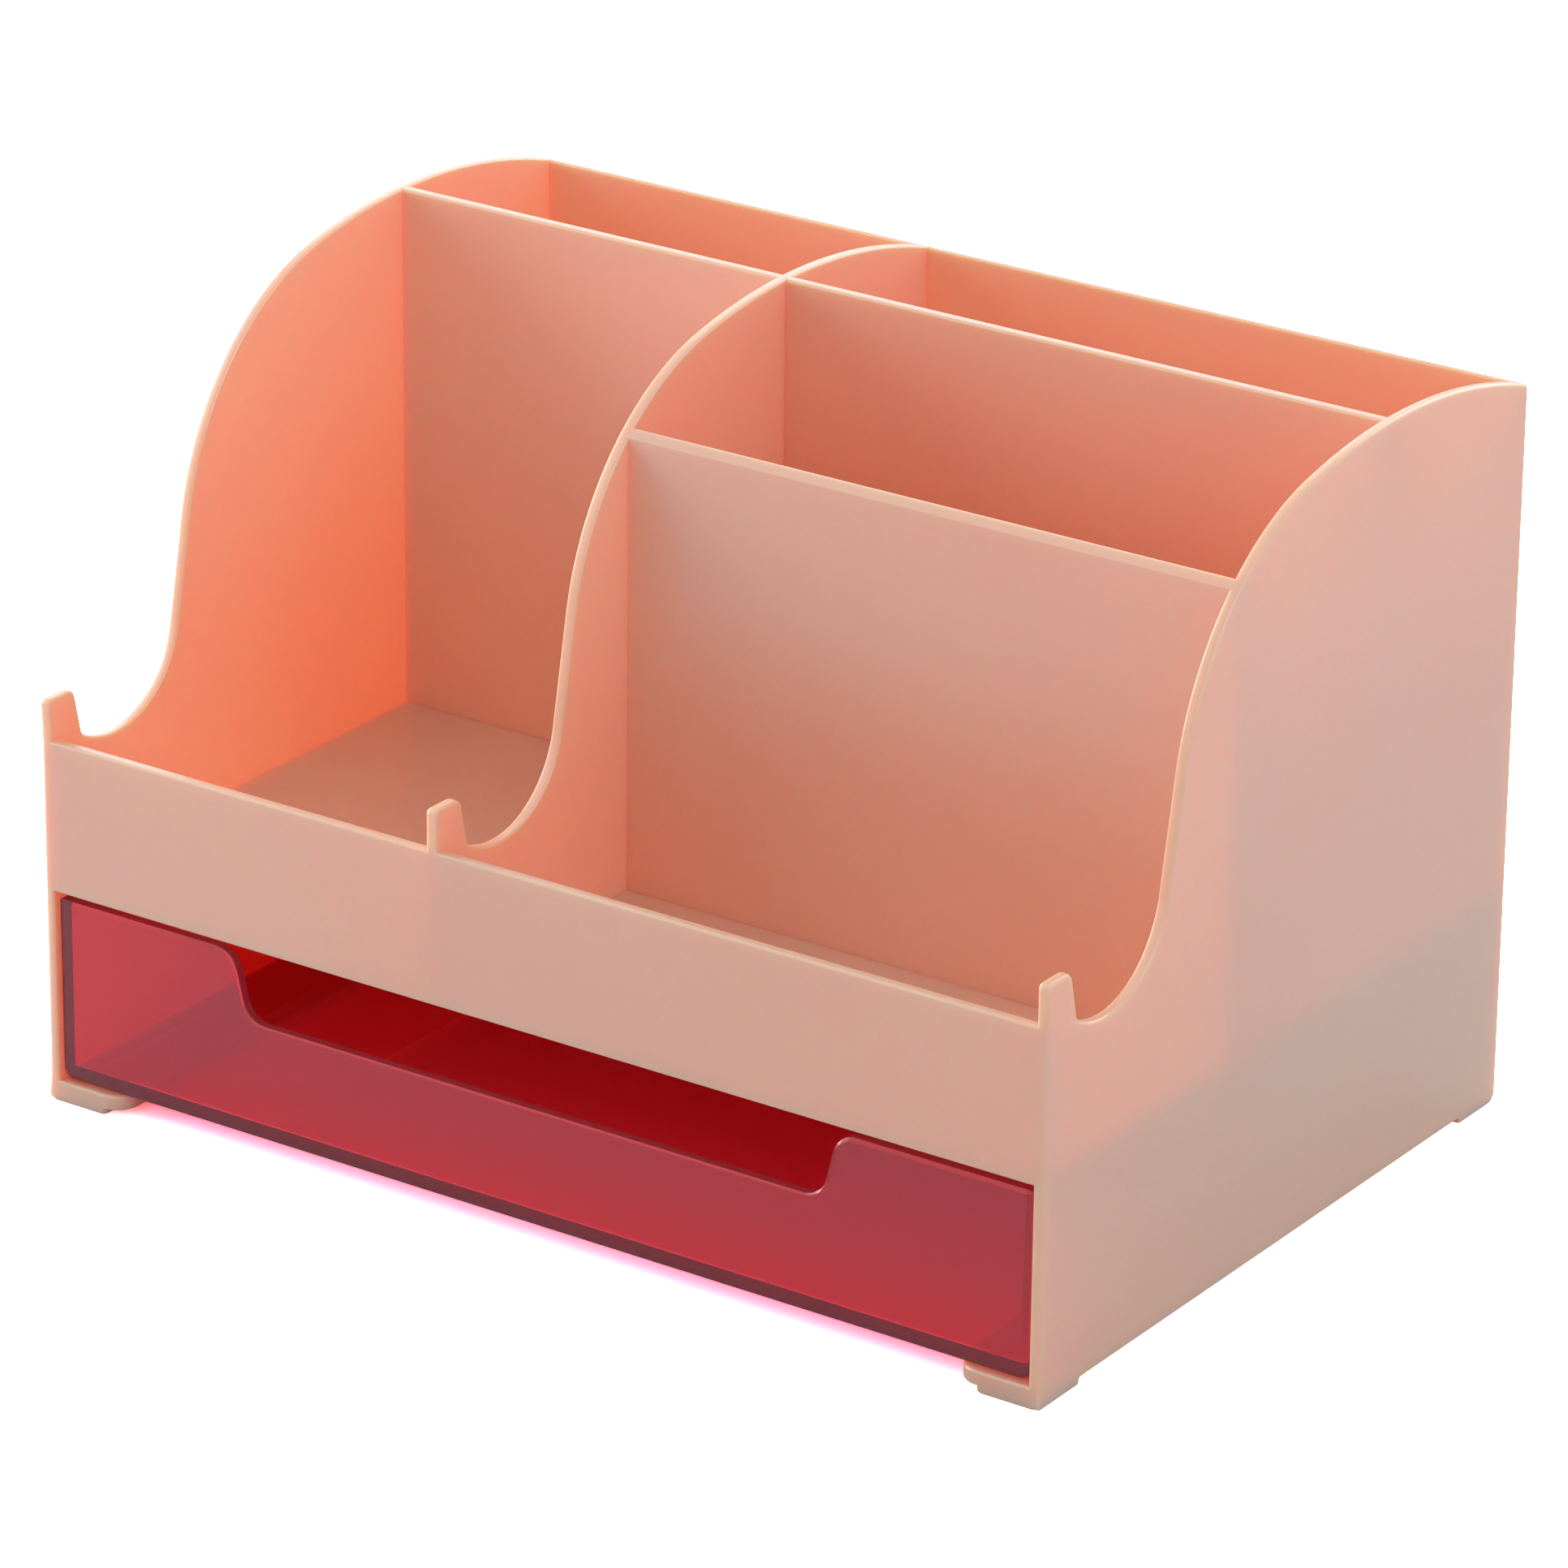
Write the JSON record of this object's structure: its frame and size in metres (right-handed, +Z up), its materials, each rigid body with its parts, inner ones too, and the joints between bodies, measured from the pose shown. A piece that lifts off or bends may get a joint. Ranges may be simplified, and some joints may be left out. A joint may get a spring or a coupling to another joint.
{
  "type": "desk pen holder with drawer",
  "caption": "Low wide desk pen holder: open bins behind curved side walls with small horns, over a clear drawer with a finger cut-out that slides out of the front.",
  "frame": {"origin": "on the table plane under the middle of the body", "axes": "+Z up, -Y towards the front with the drawer, +X to the user's right"},
  "size_m": [0.2, 0.1436, 0.1365],
  "materials": {
    "pink_translucent_plastic": "satin moulded plastic that lets a little light through",
    "crimson_clear_plastic": "polished clear tinted plastic"
  },
  "bodies": {
    "holder_body": {"left_side_wall": "pink_translucent_plastic", "right_side_wall": "pink_translucent_plastic", "middle_wall": "pink_translucent_plastic", "back_wall": "pink_translucent_plastic", "front_apron": "pink_translucent_plastic", "bin_floor": "pink_translucent_plastic", "rear_divider_left": "pink_translucent_plastic", "rear_divider_right": "pink_translucent_plastic", "front_divider": "pink_translucent_plastic", "left_drawer_ledge": "pink_translucent_plastic", "right_drawer_ledge": "pink_translucent_plastic", "left_front_foot": "pink_translucent_plastic", "left_rear_foot": "pink_translucent_plastic", "right_front_foot": "pink_translucent_plastic", "right_rear_foot": "pink_translucent_plastic"},
    "drawer_body": {"drawer": "crimson_clear_plastic"}
  },
  "joints": [
    {"name": "drawer_slide", "type": "slide", "parent": "holder_body", "child": "drawer_body", "axis": [0, -1, 0], "range_m": [0, 0.105]}
  ]
}
